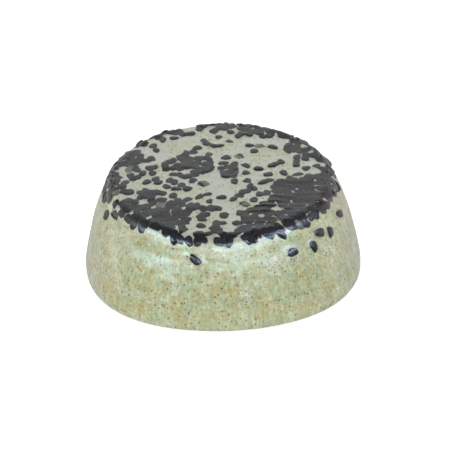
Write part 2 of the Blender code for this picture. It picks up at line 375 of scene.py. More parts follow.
def soap_material():
    """Pale sage soap with ochre mottling, pale smears, fine herb specks and a painted pale haze
    where the skin faces up.
    """
    made, add, link = shader_tree("soap")
    place = add("TexCoord").outputs["Object"]

    colour = ramp(add, link, noise_at(add, link, place, 230.0, 6.0, 0.65), (
        (0.32, (0.51, 0.61, 0.35)), (0.52, (0.61, 0.67, 0.41)), (0.70, (0.77, 0.82, 0.66)),
    ))
    ochre = ramp(add, link, noise_at(add, link, place, 360.0, 8.0, 0.76), (
        (0.46, (0, 0, 0)), (0.64, (0.9, 0.9, 0.9)),
    ))
    colour = tinted(add, link, ochre, colour, (0.60, 0.49, 0.16))
    for scale, stretch, low, high in ((1300.0, 1.0, 0.80, 1.16), (1150.0, 0.16, 0.82, 1.16)):
        colour = add_grain(add, link, place, colour, scale, stretch, low, high)
    # Painted reflection: a pale haze laid over the skin where it faces up.
    colour = add_painted_top_haze(add, link, place, colour)
    # Fine specks are common, larger ones are rarer and redder.
    specks = (
        (2100.0, 0.20, (0.30, 0.25, 0.08), 3.1),
        (1500.0, 0.14, (0.26, 0.22, 0.06), 7.7),
        (1300.0, 0.10, (0.18, 0.13, 0.04), 5.2),
        (1100.0, 0.07, (0.37, 0.25, 0.09), 1.3),
    )
    for scale, share, tint, shift in specks:
        colour = add_specks(add, link, place, colour, scale, share, tint, shift)

    shader = add("BsdfPrincipled", in_Roughness=0.55)
    shader.inputs["Subsurface Weight"].default_value = 0.25
    shader.inputs["Subsurface Radius"].default_value = (1.0, 1.0, 0.6)
    shader.inputs["Subsurface Scale"].default_value = 1.2 * MM
    shader.inputs["Coat Weight"].default_value = 1.0
    shader.inputs["Coat Roughness"].default_value = 0.22
    shader.inputs["Coat IOR"].default_value = 1.72
    link(colour, shader.inputs["Base Color"])
    fine = noise_at(add, link, place, 1400.0, 4.0, 0.6)
    bumped(add, link, fine, 0.25, 0.08 * MM, shader.inputs["Normal"])
    ripple = noise_at(add, link, place, 520.0, 3.0, 0.6)
    bumped(add, link, ripple, 0.35, 0.25 * MM, shader.inputs["Coat Normal"])
    finish_surface(add, link, shader.outputs["BSDF"])
    return made


def add_painted_top_haze(add, link, place, colour):
    """Paler where the skin faces up: a painted haze that stands in for the reflection on the flat
    top face, uneven across it.
    """
    facing = add("SeparateXYZ")
    link(add("NewGeometry").outputs["Normal"], facing.inputs["Vector"])
    upward = mapped(add, link, facing.outputs["Z"], (0.35, 0.95), smooth=True)
    cloud = noise_at(add, link, place, 150.0, 4.0, 0.6)
    uneven = mapped(add, link, cloud, (0.36, 0.62), to=(0.28, 0.85))
    return tinted(add, link, product(add, link, upward, uneven), colour, (0.64, 0.71, 0.62))


def add_grain(add, link, place, colour, scale, stretch, low, high):
    """Lighten and darken a colour finely; a stretch under 1 draws the grain out upwards."""
    drawn = add("Mapping")
    drawn.inputs["Scale"].default_value = (1.0, 1.0, stretch)
    link(place, drawn.inputs["Vector"])
    grain = noise_at(add, link, drawn.outputs["Vector"], scale, 3.0, 0.6)
    amount = mapped(add, link, grain, (0.30, 0.70), to=(low, high))
    scaled = add("VectorMath", operation="SCALE")
    link(colour, scaled.inputs[0])
    link(amount, scaled.inputs["Scale"])
    return scaled.outputs["Vector"]


def add_specks(add, link, place, colour, scale, share, tint, shift):
    """Scatter small dark specks over a colour: a share of the cells of a pattern hold one each."""
    moved = add("Mapping")
    moved.inputs["Location"].default_value = (shift * 0.01, shift * 0.02, shift * 0.03)
    link(place, moved.inputs["Vector"])
    cells = add("TexVoronoi", in_Scale=scale)
    link(moved.outputs["Vector"], cells.inputs["Vector"])
    lot = add("SeparateColor")
    link(cells.outputs["Color"], lot.inputs["Color"])
    chosen = add("Math", operation="LESS_THAN")
    link(lot.outputs["Red"], chosen.inputs[0])
    chosen.inputs[1].default_value = share
    near = mapped(add, link, cells.outputs["Distance"], (0.20, 0.42), to=(0.9, 0.0), smooth=True)
    return tinted(add, link, product(add, link, chosen.outputs[0], near), colour, tint)


def seed_material(name, dark, light):
    """Seed coat with a fine net of wrinkles and a low shine."""
    made, add, link = shader_tree(name)
    place = add("TexCoord").outputs["Object"]
    colour = ramp(add, link, noise_at(add, link, place, 900.0, 3.0), ((0.35, dark), (0.75, light)))
    shader = add("BsdfPrincipled", in_Roughness=0.62)
    shader.inputs["Specular IOR Level"].default_value = 0.30
    link(colour, shader.inputs["Base Color"])
    net = add("TexVoronoi", feature="DISTANCE_TO_EDGE", in_Scale=4500.0)
    link(place, net.inputs["Vector"])
    bumped(add, link, net.outputs["Distance"], 0.5, 0.05 * MM, shader.inputs["Normal"])
    finish_surface(add, link, shader.outputs["BSDF"])
    return made


def film_material():
    """Clear film: lets light through and mirrors a little of the room, more at a slant."""
    made, add, link = shader_tree("film")
    place = add("TexCoord").outputs["Object"]
    shine = add("BsdfGlossy", in_Roughness=0.15)
    tints = ramp(add, link, noise_at(add, link, place, 95.0, 1.0), (
        (0.30, (1.0, 0.86, 0.90)), (0.42, (1.0, 0.98, 0.97)), (0.60, (0.97, 1.0, 1.0)),
        (0.72, (0.84, 0.86, 1.0)),
    ))
    link(tints, shine.inputs["Color"])
    crinkle = noise_at(add, link, place, 420.0, 3.0)
    bumped(add, link, crinkle, 0.15, 0.10 * MM, shine.inputs["Normal"])
    # Only the outer face mirrors, so that the two faces of the sheet do not count twice.
    front = add("Math", operation="SUBTRACT")
    front.inputs[0].default_value = 1.0
    link(add("NewGeometry").outputs["Backfacing"], front.inputs[1])
    stronger = add("Math", operation="MULTIPLY")
    link(front.outputs[0], stronger.inputs[0])
    stronger.inputs[1].default_value = FILM_SHINE
    share = add("Math", operation="MULTIPLY", use_clamp=True)
    link(add("Fresnel", in_IOR=1.48).outputs["Fac"], share.inputs[0])
    link(stronger.outputs[0], share.inputs[1])
    capped = add("Math", operation="MINIMUM")
    link(share.outputs[0], capped.inputs[0])
    capped.inputs[1].default_value = FILM_SHINE_MOST
    mixed = add("MixShader")
    link(capped.outputs[0], mixed.inputs["Fac"])
    link(add("BsdfTransparent").outputs["BSDF"], mixed.inputs[1])
    link(shine.outputs["BSDF"], mixed.inputs[2])
    finish_surface(add, link, mixed.outputs["Shader"])
    return made


SOAP = soap_material()
SEED = seed_material("seed", (0.006, 0.006, 0.007), (0.020, 0.017, 0.018))
# Seeds that lie under a thin skin of soap look grey.
VEILED = seed_material("seed_veiled", (0.10, 0.11, 0.09), (0.26, 0.27, 0.22))
FILM = film_material()


# ---------------------------------------------------------------- seeds


def seed_shape(index):
    """One seed, 2 long by 2 wide and about 2 deep: blunter at -X, flat side up at zero."""
    local = np.random.default_rng(100 + index)
    sharp = local.uniform(5, 9)
    taper = local.uniform(0.12, 0.36)
    ends = BLUNT_ENDS if index < BLUNT_SHAPES else POINTED_ENDS
    bend = local.uniform(-0.20, 0.20)
    straight_side = local.uniform(0.40, 1.0)
    turn = local.uniform(-0.25, 0.25)
    around = np.linspace(0, math.tau, SEED_AROUND, endpoint=False)
    sides = np.radians([90, 210, 330]) + turn
    facing = np.maximum(np.cos(around[:, None] - sides[None, :]), 0)
    shape = (facing**sharp).sum(1) ** (-1 / sharp)
    shape = shape / shape.max()
    verts = [(-1.0, 0.0, 0.0)]
    for x in -np.cos(np.linspace(0, math.pi, SEED_ALONG + 2)[1:-1]):
        size = (1 - abs(x) ** 2.6) ** ends * (1 - taper * x)
        for a, r in zip(around, shape):
            verts.append((x, r * size * math.cos(a) + bend * (1 - x * x), r * size * math.sin(a)))
    verts.append((1.0, 0.0, 0.0))
    verts = np.array(verts)
    faces = [(0, 1 + (j + 1) % SEED_AROUND, 1 + j) for j in range(SEED_AROUND)]
    faces += grid_faces(SEED_ALONG, SEED_AROUND, first=1, flip=True)
    last = len(verts) - 1
    start = last - SEED_AROUND
    faces += [(last, start + j, start + (j + 1) % SEED_AROUND) for j in range(SEED_AROUND)]
    verts += 0.05 * np.stack([roughened(verts, 0.35, index + k) for k in (1, 2, 3)], axis=1)
    # One long side is straighter than the other.
    verts[verts[:, 1] < 0, 1] *= straight_side
    # Bring the shape back to the same size, with its side pressed flat against the mould on top.
    verts[:, 1] -= (verts[:, 1].max() + verts[:, 1].min()) / 2
    verts[:, 1] /= np.abs(verts[:, 1]).max()
    verts[:, 2] -= verts[:, 2].max()
    verts[:, 2] *= 2.3 / -verts[:, 2].min()
    pressed = verts[:, 2] > -0.6
    verts[pressed, 2] = -0.3 + (verts[pressed, 2] + 0.6) * 0.5
    verts[:, 2] -= verts[:, 2].max()
    return verts, faces


SHAPES = [seed_shape(i) for i in range(SEED_SHAPES)]


class Seed:
    """One seed lying in the skin: where it is, which way it points and how far it stands out."""

    def __init__(self, run, around, turn, length, width, proud, roll=0.0, pitch=0.0):
        self.run = run
        self.around = around
        self.turn = turn
        self.length = length
        self.width = width
        self.proud = proud
        self.roll = roll
        self.pitch = pitch
        self.shape = int(rng.integers(SEED_SHAPES if run < FLAT_RADIUS - 1 * MM else BLUNT_SHAPES))

    def points(self):
        """World points of its mesh."""
        verts, _ = SHAPES[self.shape]
        grown = SEED_HIDDEN / 2
        local = verts * [self.length * grown, self.width * grown, SEED_DEPTH / 2]
        c, s = math.cos(self.roll), math.sin(self.roll)
        local = local @ np.array([[1, 0, 0], [0, c, s], [0, -s, c]])
        c, s = math.cos(self.pitch), math.sin(self.pitch)
        local = local @ np.array([[c, 0, s], [0, 1, 0], [-s, 0, c]])
        here, down, side, up = axes_at(self.run, self.around)
        angle = self.turn - self.around
        ahead = math.cos(angle) * down + math.sin(angle) * side
        across = np.cross(up, ahead)
        frame_axes = np.stack([ahead, across, up])
        return here + (local + [0, 0, self.proud]) @ frame_axes

    def cells(self):
        """Cells of the flat field that it covers, and how near its middle line each one is."""
        u = self.run * math.cos(self.around)
        v = self.run * math.sin(self.around)
        return footprint(u, v, self.turn, self.length, self.width)


def footprint(u, v, turn, length, width):
    """Cells under a seed outline, and how near each is to its middle line (1) or edge (0)."""
    reach = int(length / 2 / CELL) + 2
    ci, cj = round((u + FIELD) / CELL), round((v + FIELD) / CELL)
    i, j = np.meshgrid(np.arange(ci - reach, ci + reach + 1), np.arange(cj - reach, cj + reach + 1))
    du, dv = i * CELL - FIELD - u, j * CELL - FIELD - v
    along = (du * math.cos(turn) + dv * math.sin(turn)) / (length / 2)
    across = (-du * math.sin(turn) + dv * math.cos(turn)) / (width / 2)
    half = np.maximum(1 - np.abs(along) ** 2.6, 0) ** 0.58 * (1 - 0.22 * along)
    inside = (np.abs(along) < 1) & (np.abs(across) < half)
    depth = 1 - np.abs(across[inside]) / np.maximum(half[inside], 1e-6)
    return i[inside], j[inside], depth


taken = np.zeros((SIZE, SIZE), bool)
bed_cells = np.zeros((SIZE, SIZE), bool)
bare_cells = np.zeros((SIZE, SIZE), bool)
# Places inside the beds where the soap shows: across, deep and how wide, in mm.
BARE_SPOTS = (
    (-12.3, 5.9, 0.6), (-11.0, 3.1, 0.8), (-8.2, 3.0, 1.0), (-4.0, 7.5, 0.7), (-21.0, -8.0, 1.2),
    (-15.0, -8.4, 0.8), (-18.6, -10.8, 1.0), (-24.0, -7.9, 0.7), (-10.6, -22.5, 0.8),
    (-8.1, -11.4, 0.6), (13.1, -14.8, 1.0), (13.1, -20.5, 0.6), (19.4, -17.0, 0.6),
    (9.2, -17.4, 0.7), (22.7, 6.5, 1.1), (14.2, 20.0, 0.5), (-1.6, 24.9, 0.6),
    (-24.0, 4.6, 1.3), (-22.7, -4.0, 0.8), (-19.6, -2.0, 0.8), (-20.9, 2.6, 0.7), (-17.5, 7.0, 0.8),
    (-6.8, 10.3, 0.6), (-10.3, 7.5, 0.5), (22.4, 11.0, 0.6), (20.8, 14.0, 0.8), (25.0, 5.0, 0.8),
    (-17.0, 18.4, 1.2), (-13.5, 20.6, 0.7), (-3.5, 23.5, 0.8), (0.2, 22.4, 0.8), (3.2, 23.2, 0.6),
    (0.5, -22.3, 0.8), (2.4, -21.8, 0.7), (1.5, -24.3, 0.7), (-1.6, -25.5, 0.7), (-2.7, -21.3, 0.6),
    (-21.6, -15.4, 1.0), (-17.2, -17.6, 0.5), (-19.0, -19.4, 0.6), (-14.4, -22.9, 0.6),
    (-9.0, -24.6, 0.5), (3.6, -26.4, 0.5), (8.4, -25.9, 0.5), (15.3, -22.8, 0.5),
    (20.0, -18.6, 0.5), (24.6, -10.9, 0.6), (26.4, -3.9, 0.5), (26.4, 2.1, 0.5),
    (-12.6, -25.4, 0.6), (-3.4, -27.4, 0.6), (6.0, -28.1, 0.6), (12.2, -25.7, 0.5),
    (18.2, -22.4, 0.6), (23.3, -16.4, 0.6),
)
# Seeds that lie apart from the beds and from the CAD's own seeds: across, deep and turn in degrees.
STRAY_SEEDS = (
    (-3.3, 16.0, -45), (-0.1, 15.2, 20), (-16.8, 15.7, 80), (-6.6, 12.3, 60), (-11.4, 19.5, 20),
    (0.9, 6.5, 10), (13.8, 5.7, 30), (18.7, 6.9, 85), (3.1, -2.4, -80), (6.4, -2.0, -30),
    (6.8, -4.4, 85), (6.6, -6.6, 50), (4.4, -8.7, 40), (8.2, -5.6, 80), (11.6, -1.9, 15),
    (10.9, -7.6, 80), (7.7, -10.5, 75), (-17.3, 4.6, -65), (-16.5, 2.2, -80), (-15.6, -0.2, 60),
    (-14.9, -2.0, 40), (-20.2, 0.9, 70), (-22.9, -1.8, 60), (-10.6, -4.9, 0), (-8.2, -5.4, -15),
    (-11.2, -1.9, 80), (-3.8, -16.9, 20), (-4.4, -18.9, -30), (-5.0, -9.2, 60), (20.9, 8.2, 80),
    (-19.9, 4.1, 80), (-23.6, -3.6, 20), (4.4, -16.3, 85), (3.8, -20.6, 10), (4.7, -22.4, 60),
    (4.0, -24.4, -20), (-4.7, -21.6, -20), (-5.2, -24.8, 30), (-5.6, -26.4, 80), (-18.3, 8.4, 70),
)
# Seeds that lie apart on the wall and the shoulder: angle round the bar, height in mm, turn.
WALL_SEEDS = (
    (-149, 21.0, 60), (-132.5, 20.5, 20), (-114.5, 20.8, 0), (-106, 20.0, 40), (-64, 20.9, 70),
    (-55, 21.0, 20), (-45.5, 15.1, 10), (-32, 15.8, -15), (-100, 20.6, 70),
    (-126, 21.2, 80), (-72, 21.0, 30), (-88, 20.9, 60), (150, 20.5, 20), (118, 19.4, 70),
    (84, 20.0, 10), (52, 20.8, 50), (20, 19.0, 15), (97, 17.0, 60), (-179, 20.6, 30),
    (-174, 20.2, 80), (-169, 20.6, 20), (-165, 21.3, 70), (-171, 21.8, 50), (-177, 22.0, 10),
    (-158, 21.4, 40), (-153, 20.0, 80), (176, 21.6, 60), (-143, 20.8, 70), (-138, 20.4, 10),
    (-49, 22.0, 70), (-44, 21.9, 30), (-39, 22.0, 80), (-35, 21.6, 20), (-53, 21.8, 50),
)
# Seeds under a thin skin of soap: across, deep and turn in degrees.
VEILED_SEEDS = (
    (4.7, 9.7, 60), (5.6, -12.6, -30), (-4.1, -3.1, -10), (-14.2, -11.9, 40), (18.4, -20.6, 20),
    (-22.4, 4.6, 70), (9.8, 14.6, 10), (-25.2, -6.0, 80),
)


def from_field(u, v):
    """Run and angle of a flat field coordinate."""
    return math.hypot(u, v), math.atan2(v, u)


def claim(seed):
    """Mark the cells that a seed covers."""
    i, j, _ = seed.cells()
    keep = (i >= 0) & (i < SIZE) & (j >= 0) & (j < SIZE)
    taken[i[keep], j[keep]] = True


def run_of(point):
    """Run and angle of the skin place nearest a world point."""
    around = math.atan2(point.y, point.x)
    fine = np.linspace(0, RUN_BASE_EDGE, 800)
    spots = surface(fine, around, 0.0)
    nearest = np.argmin(np.linalg.norm(spots - np.array(point), axis=1))
    return float(fine[nearest]), around


def single_seed(node):
    """The seed that stands for a CAD seed node: same place, same direction."""
    verts = np.array([v.co for v in frame["nodes"][node].data.vertices], float)
    middle = verts.mean(0)
    run, around = run_of(Vector(middle))
    _, down, side, _ = axes_at(run, around)
    flat = verts - middle
    flat = np.stack([flat @ down, flat @ side], axis=1)
    _, _, directions = np.linalg.svd(flat, full_matrices=False)
    long_way = directions[0]
    along = flat @ long_way
    if np.abs(along[along > 0].max()) < np.abs(along.min()):
        long_way = -long_way
    turn = math.atan2(long_way[1], long_way[0]) + around
    on_wall = node.startswith("seed_wall")
    return Seed(
        run, around, turn,
        length=rng.uniform(*SEED_LENGTH),
        width=rng.uniform(*SEED_WIDTH),
        proud=rng.uniform(0.45, 0.6) * MM if on_wall else rng.uniform(0.16, 0.26) * MM,
        roll=rng.uniform(-0.12, 0.12),
        pitch=rng.uniform(-0.05, 0.05),
    )


def inside_bed(node):
    """Cells of the field that lie over a packed bed."""
    mesh = frame["nodes"][node].data
    corners = [v.co for v in mesh.vertices]
    tree = BVHTree.FromPolygons(corners, [tuple(p.vertices) for p in mesh.polygons])
    coarse = 3
    low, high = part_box(node)
    spots = np.arange(0, SIZE, coarse)
    i, j = np.meshgrid(spots, spots, indexing="ij")
    u, v = i * CELL - FIELD, j * CELL - FIELD
    run, around = np.hypot(u, v), np.arctan2(v, u)
    radius = np.interp(run, RUN, SECTION_R)
    x, y = radius * np.cos(around), radius * np.sin(around)
    near = (x > low.x) & (x < high.x) & (y > low.y) & (y < high.y) & (run < FIELD)
    mask = np.zeros((SIZE, SIZE), bool)
    for ci, cj, px, py in zip(i[near], j[near], x[near], y[near]):
        if tree.ray_cast(Vector((px, py, 1)), Vector((0, 0, -1)))[0] is not None:
            mask[ci : ci + coarse, cj : cj + coarse] = True
    return mask


def best_turn(u, v, length, width, mask, most_overlap, least_in):
    """Direction in which a seed overlaps its neighbours least, or None where it cannot lie."""
    best = None
    turns = rng.uniform(0, math.tau, TURNS_TRIED)
    if math.hypot(u, v) > FLAT_RADIUS + 1 * MM:
        # Over the edge the seeds lie more along it than across it.
        turns = math.atan2(v, u) + math.pi / 2 + rng.uniform(-1.1, 1.1, TURNS_TRIED)
    for turn in turns:
        i, j, _ = footprint(u, v, turn, length, width)
        if len(i) == 0 or i.min() < 0 or j.min() < 0 or i.max() >= SIZE or j.max() >= SIZE:
            continue
        overlap = taken[i, j].mean()
        if bare_cells[i, j].mean() > MOST_ON_BARE:
            continue
        if overlap < most_overlap and mask[i, j].mean() > least_in:
            if best is None or overlap < best[0]:
                best = (overlap, turn)
    return best


def pack_bed(node):
    """Fill a bed with seeds: a first layer that hardly overlaps, then lower ones in its gaps."""
    mask = inside_bed(node)
    bed_cells[mask] = True
    mark_bare_specks(mask)
    mask &= ~bare_cells
    wanted = mask.sum() * BED_COVER
    seeds = []
    for most_overlap, least_in, lower in PACKING:
        open_cells = np.argwhere((mask & ~taken)[::2, ::2]) * 2
        rng.shuffle(open_cells)
        for ci, cj in open_cells:
            if taken[ci, cj] or (mask & taken).sum() > wanted:
                continue
            u, v = ci * CELL - FIELD, cj * CELL - FIELD
            length, width = rng.uniform(*SEED_LENGTH), rng.uniform(*SEED_WIDTH)
            best = best_turn(u, v, length, width, mask, most_overlap, least_in)
            if best is None:
                continue
            run, around = from_field(u, v)
            steep = np.clip((run - FLAT_RADIUS) / (3 * MM), 0, 1)
            seed = Seed(
                run, around, best[1], length, width,
                proud=(rng.uniform(0.17, 0.27) + steep * rng.uniform(0.05, 0.40) - lower) * MM,
                roll=rng.normal(0, 0.05 + 0.14 * steep),
                pitch=rng.normal(0, 0.03 + 0.05 * steep),
            )
            claim(seed)
            seeds.append(seed)
    return seeds


def mark_bare_spots():
    """Keep a few places in the beds free of seeds."""
    i, j = np.meshgrid(np.arange(SIZE), np.arange(SIZE), indexing="ij")
    u, v = i * CELL - FIELD, j * CELL - FIELD
    for x, y, wide in BARE_SPOTS:
        angle = np.arctan2(v - y * MM, u - x * MM)
        reach = wide * MM * (1 + 0.25 * np.cos(3 * angle + x))
        bare_cells[np.hypot(u - x * MM, v - y * MM) < reach] = True


def mark_bare_specks(mask):
    """Scatter small bare specks over a bed."""
    cells = np.argwhere(mask)
    wanted = int(len(cells) * CELL**2 / BED_PER_SPECK)
    for ci, cj in rng.permutation(cells)[:wanted]:
        wide = rng.uniform(*SPECK_WIDE) * MM
        reach = int(wide / CELL)
        long_way = rng.uniform(0, math.pi)
        steps = np.arange(-reach, reach + 1)
        i, j = np.meshgrid(steps, steps, indexing="ij")
        along = i * math.cos(long_way) + j * math.sin(long_way)
        across = -i * math.sin(long_way) + j * math.cos(long_way)
        inside = np.hypot(along, across * 1.7) < reach
        at_i = np.clip(ci + i[inside], 0, SIZE - 1)
        at_j = np.clip(cj + j[inside], 0, SIZE - 1)
        bare_cells[at_i, at_j] = True


def wall_seeds():
    """Seeds that lie apart on the wall and the shoulder, besides the CAD's own."""
    seeds = []
    fine = np.linspace(FLAT_RADIUS, RUN_BASE_EDGE, 400)
    for degrees, height, turn in WALL_SEEDS:
        around = math.radians(degrees)
        levels = surface(fine, around, 0.0)[:, 2]
        run = float(fine[np.argmin(np.abs(levels - height * MM))])
        seeds.append(Seed(
            run, around, around + math.radians(turn),
            rng.uniform(*SEED_LENGTH), rng.uniform(*SEED_WIDTH),
            proud=rng.uniform(0.30, 0.45) * MM,
            roll=rng.normal(0, 0.10),
            pitch=rng.normal(0, 0.05),
        ))
    return seeds


def face_seeds(places):
    """Seeds that lie apart on the small face, besides the CAD's own."""
    seeds = []
    for x, y, turn in places:
        run, around = from_field(x * MM, y * MM)
        seeds.append(Seed(
            run, around, math.radians(turn),
            rng.uniform(*SEED_LENGTH), rng.uniform(*SEED_WIDTH),
            proud=rng.uniform(0.15, 0.25) * MM,
            roll=rng.normal(0, 0.08),
            pitch=rng.normal(0, 0.04),
        ))
    return seeds


def seeds_object(name, seeds, coat):
    """One piece holding a set of seeds."""
    verts, faces, count = [], [], 0
    for seed in seeds:
        verts.append(seed.points())
        faces += [tuple(k + count for k in f) for f in SHAPES[seed.shape][1]]
        count += len(verts[-1])
    made = new_mesh(name, np.concatenate(verts), faces, [coat])
    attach(made, "root")
    return made


single_nodes = sorted(n for n in frame["nodes"] if n.startswith(("seed_top", "seed_wall")))
bed_nodes = sorted(n for n in frame["nodes"] if n.startswith("seed_bed"))

mark_bare_spots()
strays = face_seeds(STRAY_SEEDS) + wall_seeds()
veiled = face_seeds(VEILED_SEEDS)
all_seeds = strays + veiled
for stray in all_seeds:
    claim(stray)
seeds_object("stray_seeds", strays, SEED)
seeds_object("veiled_seeds", veiled, VEILED)

for node in single_nodes:
    one = single_seed(node)
    claim(one)
    all_seeds.append(one)
    piece = seeds_object(node.replace("seed_", "loose_seed_"), [one], SEED)
    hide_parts(node)

for node in bed_nodes:
    packed = pack_bed(node)
    all_seeds += packed
    piece = seeds_object(node.replace("seed_bed_", "packed_seeds_"), packed, SEED)
    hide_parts(node)


# ---------------------------------------------------------------- soap


def softened_field(field, reach):
    """Field evened out over `reach` cells each way."""
    out = field.astype(float)
    weights = np.ones(2 * reach + 1) / (2 * reach + 1)
    for axis in (0, 1):
        out = np.apply_along_axis(np.convolve, axis, out, weights, mode="same")
    return out


def field_value(field, run, around):
    """Value of a field at places on the skin."""
    i = np.round((run * np.cos(around) + FIELD) / CELL).astype(int)
    j = np.round((run * np.sin(around) + FIELD) / CELL).astype(int)
    within = (i >= 0) & (i < SIZE) & (j >= 0) & (j < SIZE)
    return np.where(within, field[np.clip(i, 0, SIZE - 1), np.clip(j, 0, SIZE - 1)], 0.0)


def soap_object():
    """The bar's skin, slightly uneven, as poured."""
    top_runs = np.arange(SKIN_STEP, RUN_BASE_EDGE, SKIN_STEP)
    under_runs = np.linspace(RUN_BASE_EDGE, RUN_END, UNDER_RINGS + 1)[:-1]
    runs = np.concatenate([top_runs, under_runs])
    around = np.linspace(0, math.tau, SKIN_AROUND, endpoint=False)
    run_grid, turn_grid = np.meshgrid(runs, around, indexing="ij")
    flat = surface(run_grid.ravel(), turn_grid.ravel(), 0.0)
    on_wall = np.clip((run_grid.ravel() - FLAT_RADIUS) / WALL_FROM, 0, 1)
    under = run_grid.ravel() > RUN_BASE_EDGE - 1 * MM
    lift = 0.0
    for index, (size, on_face, more) in enumerate(SKIN_WAVES, start=1):
        lift = lift + roughened(flat, size, index) * (on_face + more * on_wall) * MM
    lift -= BED_DIP * field_value(softened_field(bed_cells, 6), run_grid.ravel(), turn_grid.ravel())
    lift[under] = np.minimum(lift[under], 0.0)
    points = surface(run_grid.ravel(), turn_grid.ravel(), lift)
    top = surface(0.0, 0.0, lift[:SKIN_AROUND].mean())
    bottom = surface(RUN_END, 0.0, 0.0)
    verts = np.vstack([points, top, bottom])
    rings = len(runs)
    faces = grid_faces(rings, SKIN_AROUND)
    apex, foot = len(points), len(points) + 1
    last = (rings - 1) * SKIN_AROUND
    for j in range(SKIN_AROUND):
        k = (j + 1) % SKIN_AROUND
        faces.append((apex, j, k))
        faces.append((foot, last + k, last + j))
    made = new_mesh("soap_bar", verts, faces, [SOAP])
    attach(made, "root")
    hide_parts("soap_body")
    return made


soap_object()


# ---------------------------------------------------------------- film


def seed_heights(runs, around):
    """How far the seeds stand out of the skin, on a grid of runs and angles."""
    field = np.zeros((SIZE, SIZE))
    for seed in all_seeds:
        i, j, depth = seed.cells()
        keep = (i >= 0) & (i < SIZE) & (j >= 0) & (j < SIZE)
        crown = seed.proud * np.minimum(1, 0.4 + 1.2 * depth[keep])
        np.maximum.at(field, (i[keep], j[keep]), crown)
    u = runs[:, None] * np.cos(around)[None, :]
    v = runs[:, None] * np.sin(around)[None, :]
    i = np.clip(np.round((u + FIELD) / CELL).astype(int), 0, SIZE - 1)
    j = np.clip(np.round((v + FIELD) / CELL).astype(int), 0, SIZE - 1)
    heights = np.zeros(u.shape)
    for di in (-2, 0, 2):
        for dj in (-2, 0, 2):
            near = field[np.clip(i + di, 0, SIZE - 1), np.clip(j + dj, 0, SIZE - 1)]
            heights = np.maximum(heights, near)
    heights[np.hypot(u, v) > FIELD - 5 * CELL] = 0
    return heights


def stretched(bumps):
    """A tight sheet over bumps: it evens out, but never sinks into them."""
    sheet = bumps.copy()
    for _ in range(FILM_RELAX):
        mean = (np.roll(sheet, 1, 1) + np.roll(sheet, -1, 1)) / 4
        mean[1:-1] += (sheet[2:] + sheet[:-2]) / 4
        mean[0] += sheet[:2].sum(0) / 4
        mean[-1] += sheet[-2:].sum(0) / 4
        sheet = np.maximum(mean, bumps)
    return sheet


def creases(runs, around):
    """Long low folds that run down the wall, and short ones that cross the small face."""
    local = np.random.default_rng(23)
    run, turn = np.meshgrid(runs, around, indexing="ij")
    folds = np.zeros(run.shape)
    for k in range(WALL_CREASES):
        start = local.uniform(0, math.tau)
        if k < FRONT_CREASES:
            start = math.radians(local.uniform(-108, -88))
        lean = local.uniform(-0.5, 0.5) / RADIUS
        top = local.uniform(29, 36) * MM
        bottom = top + local.uniform(6, 18) * MM
        middle = start + (run - top) * lean
        away = np.angle(np.exp(1j * (turn - middle))) * RADIUS
        ends = np.clip((run - top) / CREASE_ENDS, 0, 1)
        ends = ends * np.clip((bottom - run) / CREASE_ENDS, 0, 1)
        height = local.uniform(0.05, 0.14) * MM
        folds += height * ends * np.exp(-((away / WALL_CREASE_WIDE) ** 2))
    u, v = run * np.cos(turn), run * np.sin(turn)
    for _ in range(FACE_CREASES):
        angle = math.radians(local.uniform(-14, 6))
        cu, cv = local.uniform(9, 22) * MM, -local.uniform(7, 21) * MM
        away = -(u - cu) * math.sin(angle) + (v - cv) * math.cos(angle)
        along = (u - cu) * math.cos(angle) + (v - cv) * math.sin(angle)
        ends = np.clip((FACE_CREASE_REACH - np.abs(along)) / CREASE_ENDS, 0, 1)
        height = local.uniform(0.06, 0.15) * MM
        folds += height * ends * np.exp(-((away / FACE_CREASE_WIDE) ** 2))
    return folds


def film_object():
    """The film: a thin shell that rides over the seeds and turns under the base."""
    runs = np.arange(0.5 * FILM_STEP, RUN_BASE_EDGE + FILM_TUCK, FILM_STEP)
    around = np.linspace(0, math.tau, FILM_AROUND, endpoint=False)
    sheet = stretched(seed_heights(runs, around)) + creases(runs, around)
    run_grid, turn_grid = np.meshgrid(runs, around, indexing="ij")
    flat = surface(run_grid.ravel(), turn_grid.ravel(), 0.0)
    lift = sheet.ravel() + FILM_LIFT
    lift += (0.5 + 0.5 * roughened(flat, 6 * MM, 5)) * FILM_SLACK
    low = run_grid.ravel() > RUN_BASE_EDGE - FILM_LOW_FROM
    lift[low] = np.minimum(lift[low], FILM_LOW_LIFT)
    outer = surface(run_grid.ravel(), turn_grid.ravel(), lift)
    inner = surface(run_grid.ravel(), turn_grid.ravel(), lift - FILM_THICKNESS)
    rings = len(runs)
    count = len(outer)
    crown = lift[:FILM_AROUND].mean()
    apexes = [surface(0.0, 0.0, crown), surface(0.0, 0.0, crown - FILM_THICKNESS)]
    verts = np.vstack([outer, inner, *apexes])
    faces = grid_faces(rings, FILM_AROUND)
    faces += grid_faces(rings, FILM_AROUND, first=count, flip=True)
    last = (rings - 1) * FILM_AROUND
    for j in range(FILM_AROUND):
        k = (j + 1) % FILM_AROUND
        faces.append((2 * count, j, k))
        faces.append((2 * count + 1, count + k, count + j))
        faces.append((last + j, count + last + j, count + last + k, last + k))
    made = new_mesh("film_wrap", verts, faces, [FILM])
    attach(made, "root")
    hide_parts("clear_wrap")
    return made


film_object()


# ---------------------------------------------------------------- studio


def area_light(name, place, target, size, power, colour, mirrored, lights):
    """Soft light aimed at a point; it can show in reflections, light matt surfaces, or both."""
    data = bpy.data.lights.new(name, "AREA")
    data.shape = "RECTANGLE"
    data.size, data.size_y = size
    data.energy = power
    data.color = colour
    made = bpy.data.objects.new(name, data)
    bpy.context.scene.collection.objects.link(made)
    made.location = place
    made.rotation_euler = (Vector(target) - Vector(place)).to_track_quat("-Z", "Y").to_euler()
    made.visible_camera = False
    made.visible_glossy = mirrored
    made.visible_diffuse = lights
    return made


